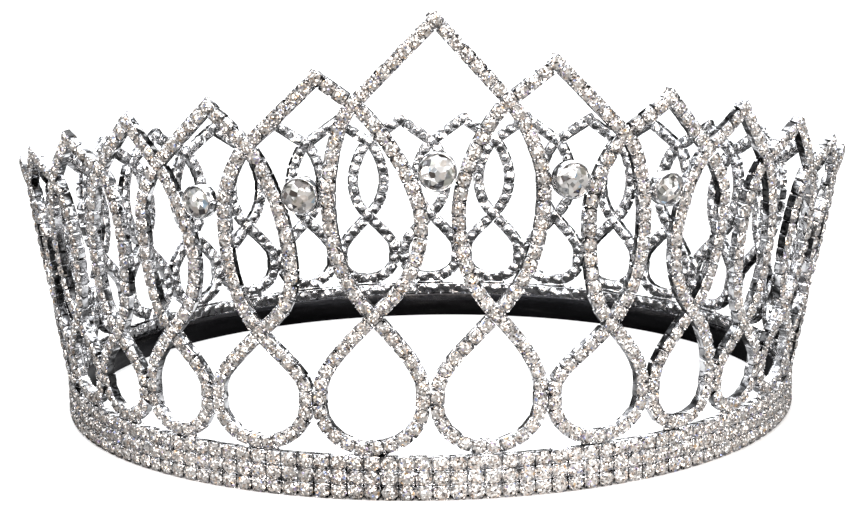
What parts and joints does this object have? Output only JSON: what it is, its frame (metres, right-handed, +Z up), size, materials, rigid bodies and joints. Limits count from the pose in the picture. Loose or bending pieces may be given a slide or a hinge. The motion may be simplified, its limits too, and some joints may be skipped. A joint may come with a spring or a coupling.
{
  "type": "rhinestone crown",
  "caption": "Full round crown: a paved base band carrying an openwork lattice of bent rhinestone chain that rises to pointed peaks, tallest at the front, with round crystals between them.",
  "frame": {"origin": "centre of the base ring, on the plane it stands on", "axes": "+Z up, -Y towards the tallest peak (the front), +X to the right as seen from the front"},
  "size_m": [0.1654, 0.1489, 0.084],
  "materials": {
    "plated_metal": "bright silver plating",
    "polished_strip": "polished silver plating",
    "rhinestones": "clear faceted glass, foil backed",
    "crystal": "clear faceted glass"
  },
  "bodies": {
    "root": {"base_strip": "polished_strip", "stone_band": "plated_metal", "chain_loop_01": "plated_metal", "chain_loop_02": "plated_metal", "chain_loop_03": "plated_metal", "chain_loop_04": "plated_metal", "chain_loop_05": "plated_metal", "chain_loop_06": "plated_metal", "chain_loop_07": "plated_metal", "chain_loop_08": "plated_metal", "chain_loop_09": "plated_metal", "chain_loop_10": "plated_metal", "chain_loop_11": "plated_metal", "chain_loop_12": "plated_metal", "chain_loop_13": "plated_metal", "chain_loop_14": "plated_metal", "chain_loop_15": "plated_metal", "chain_loop_16": "plated_metal", "chain_loop_17": "plated_metal", "chain_loop_18": "plated_metal", "chain_loop_19": "plated_metal", "chain_loop_20": "plated_metal", "chain_loop_21": "plated_metal", "chain_loop_22": "plated_metal", "chain_loop_23": "plated_metal", "chain_loop_24": "plated_metal", "chain_loop_25": "plated_metal", "chain_loop_26": "plated_metal", "chain_loop_27": "plated_metal", "chain_loop_28": "plated_metal", "chain_loop_29": "plated_metal", "crystal_setting_1": "plated_metal", "crystal_setting_2": "plated_metal", "crystal_setting_3": "plated_metal", "crystal_setting_4": "plated_metal", "crystal_setting_5": "plated_metal", "crystal_1": "crystal", "crystal_2": "crystal", "crystal_3": "crystal", "crystal_4": "crystal", "crystal_5": "crystal"}
  },
  "joints": []
}
